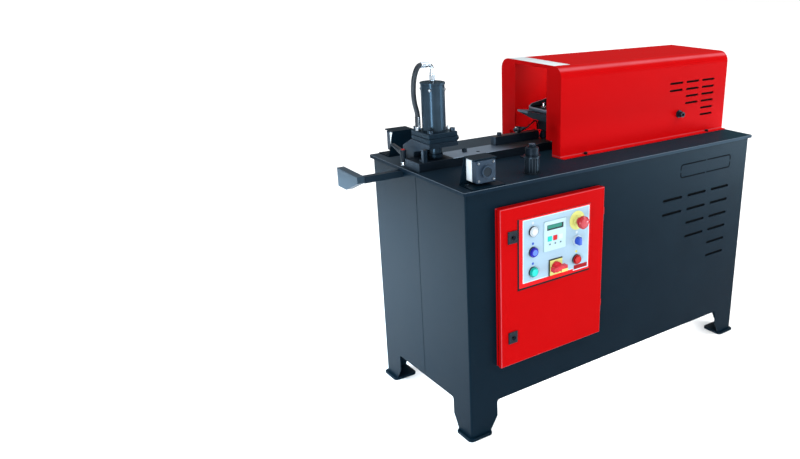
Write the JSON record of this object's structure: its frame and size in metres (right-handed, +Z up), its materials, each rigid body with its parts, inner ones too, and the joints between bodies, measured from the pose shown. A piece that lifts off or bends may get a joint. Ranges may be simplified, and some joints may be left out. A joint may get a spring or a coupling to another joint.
{
  "type": "scroll bending machine",
  "caption": "Floor-standing hydraulic scroll bending machine: steel cabinet with switch door, bar bed with vertical clamp, hooded wiper arm on a rack-driven spindle, length stop.",
  "frame": {"origin": "on the floor, at the middle of the four anchor holes in the foot plates", "axes": "+X along the table towards the hood's closed end, +Y to the back, +Z up"},
  "size_m": [1.401, 0.6284, 1.1065],
  "materials": {
    "cabinet_paint": "fine-textured powder coat, dark slate",
    "red_paint": "satin red powder coat",
    "machine_black": "blackened satin machine parts",
    "machined_steel": "ground and machined steel",
    "black_screws": "black oxide screws",
    "bright_bolts": "zinc-bright bolts",
    "chrome_fitting": "bright plated fittings",
    "hose_rubber": "black hydraulic hose",
    "panel_blue": "pale blue printed panel",
    "display_plastic": "dark keypad foil",
    "lamp_white": "white lens",
    "blue_cap": "blue button cap",
    "green_cap": "green button cap",
    "red_cap": "red button cap",
    "bezel_grey": "grey bezels",
    "legend_yellow": "yellow plates",
    "black_plastic": "black plastic",
    "box_white": "pale grey box base",
    "box_grey": "dark grey box lid",
    "zinc_sheet": "galvanised sheet",
    "gear_grey": "switchgear housings",
    "tank_grey": "grey tank paint",
    "cast_metal": "painted castings",
    "alloy_block": "machined alloy block",
    "bronze_bush": "bronze"
  },
  "bodies": {
    "machine": {"front_shell": "cabinet_paint", "rear_shell": "cabinet_paint", "table_plate": "cabinet_paint", "foot_plates": "cabinet_paint", "floor_sheet": "zinc_sheet", "enclosure_box": "red_paint", "switchgear": "gear_grey", "door_hinges": "machine_black", "oil_tank": "tank_grey", "tank_lid": "tank_grey", "pump_motor": "cast_metal", "valve_block": "alloy_block", "actuator_housing": "cast_metal", "actuator_caps": "cast_metal", "spindle_bushes": "bronze_bush", "mandrel": "machined_steel", "bed_bar": "machined_steel", "bed_guides": "machine_black", "position_sensor": "chrome_fitting", "clamp_frame": "machine_black", "clamp_plates": "machine_black", "cap_screws": "black_screws", "clamp_cylinder": "machine_black", "hose_fittings": "chrome_fitting", "clamp_hose": "hose_rubber", "box_brackets": "machine_black", "box_bases": "box_white", "box_lids": "box_grey", "hood": "red_paint", "cable_glands": "black_plastic", "fluted_post": "machine_black"},
    "door": {"door": "red_paint", "control_panel": "panel_blue", "display_module": "display_plastic", "signal_lamp": "lamp_white", "button_bezels": "bezel_grey", "legend_plates": "legend_yellow", "lock_bodies": "black_plastic"},
    "blue_button": {"blue_button": "blue_cap"},
    "green_button": {"green_button": "green_cap"},
    "red_button": {"red_button": "red_cap"},
    "selector": {"selector_knob": "blue_cap"},
    "emergency_stop": {"estop_button": "red_cap"},
    "main_switch": {"switch_handle": "red_cap"},
    "upper_lock": {"upper_lock": "machine_black"},
    "lower_lock": {"lower_lock": "machine_black"},
    "ram": {"clamp_ram": "machined_steel", "press_foot": "machine_black"},
    "length_stop": {"stop_bar": "machine_black", "stop_paddle": "machine_black"},
    "lever": {"clamping_lever": "black_plastic"},
    "lever_button": {"lever_button": "red_cap"},
    "front_hand_button": {"front_button": "black_plastic"},
    "rear_hand_button": {"rear_button": "black_plastic"},
    "rack": {"rack_piston": "machined_steel"},
    "arm": {"spindle": "machined_steel", "forming_arm": "machine_black", "die_tray": "machine_black", "tray_bolts": "bright_bolts"},
    "roller": {"forming_roller": "machined_steel"}
  },
  "joints": [
    {"name": "door_hinge", "type": "hinge", "parent": "machine", "child": "door", "pos_m": [-0.1165, -0.282, 0.478], "axis": [0, 0, 1], "range_deg": [0, 110]},
    {"name": "blue_press", "type": "slide", "parent": "door", "child": "blue_button", "axis": [0, 1, 0], "range_m": [0, 0.004], "stiffness_N_per_m": 400},
    {"name": "green_press", "type": "slide", "parent": "door", "child": "green_button", "axis": [0, 1, 0], "range_m": [0, 0.004], "stiffness_N_per_m": 400},
    {"name": "red_press", "type": "slide", "parent": "door", "child": "red_button", "axis": [0, 1, 0], "range_m": [0, 0.004], "stiffness_N_per_m": 400},
    {"name": "selector_turn", "type": "hinge", "parent": "door", "child": "selector", "pos_m": [-0.235, -0.298, 0.5785], "axis": [0, 1, 0], "range_deg": [-45, 45]},
    {"name": "emergency_press", "type": "slide", "parent": "door", "child": "emergency_stop", "axis": [0, 1, 0], "range_m": [0, 0.004], "stiffness_N_per_m": 900},
    {"name": "main_switch_turn", "type": "hinge", "parent": "door", "child": "main_switch", "pos_m": [-0.319, -0.298, 0.512], "axis": [0, 1, 0], "range_deg": [0, 90]},
    {"name": "upper_lock_turn", "type": "hinge", "parent": "door", "child": "upper_lock", "pos_m": [-0.4805, -0.288, 0.64], "axis": [0, 1, 0], "range_deg": [0, 90]},
    {"name": "lower_lock_turn", "type": "hinge", "parent": "door", "child": "lower_lock", "pos_m": [-0.4805, -0.288, 0.3205], "axis": [0, 1, 0], "range_deg": [0, 90]},
    {"name": "ram_lift", "type": "slide", "parent": "machine", "child": "ram", "axis": [0, 0, 1], "range_m": [0, 0.022]},
    {"name": "stop_slide", "type": "slide", "parent": "machine", "child": "length_stop", "axis": [1, 0, 0], "range_m": [-0.06, 0.11]},
    {"name": "lever_turn", "type": "hinge", "parent": "machine", "child": "lever", "pos_m": [-0.61, 0.086, 0.82], "axis": [0, 0, 1], "range_deg": [-8, 100]},
    {"name": "lever_press", "type": "slide", "parent": "lever", "child": "lever_button", "axis": [0, 0, -1], "range_m": [0, 0.002], "stiffness_N_per_m": 600},
    {"name": "front_hand_press", "type": "slide", "parent": "machine", "child": "front_hand_button", "axis": [0, 1, 0], "range_m": [0, 0.004], "stiffness_N_per_m": 400},
    {"name": "rear_hand_press", "type": "slide", "parent": "machine", "child": "rear_hand_button", "axis": [0, -1, 0], "range_m": [0, 0.004], "stiffness_N_per_m": 400},
    {"name": "rack_slide", "type": "slide", "parent": "machine", "child": "rack", "axis": [1, 0, 0], "range_m": [0, 0.13404]},
    {"name": "spindle_turn", "type": "hinge", "parent": "machine", "child": "arm", "pos_m": [-0.09, -0.004, 0.7], "axis": [0, 0, 1], "range_deg": [-240.5, 0.5]},
    {"name": "roller_spin", "type": "hinge", "parent": "arm", "child": "roller", "pos_m": [-0.09773, 0.03982, 0.832], "axis": [0, 0, 1], "continuous": true}
  ],
  "couplings": [
    {"joint": "spindle_turn", "follows": "rack_slide", "rad_per_m": -31.25}
  ]
}
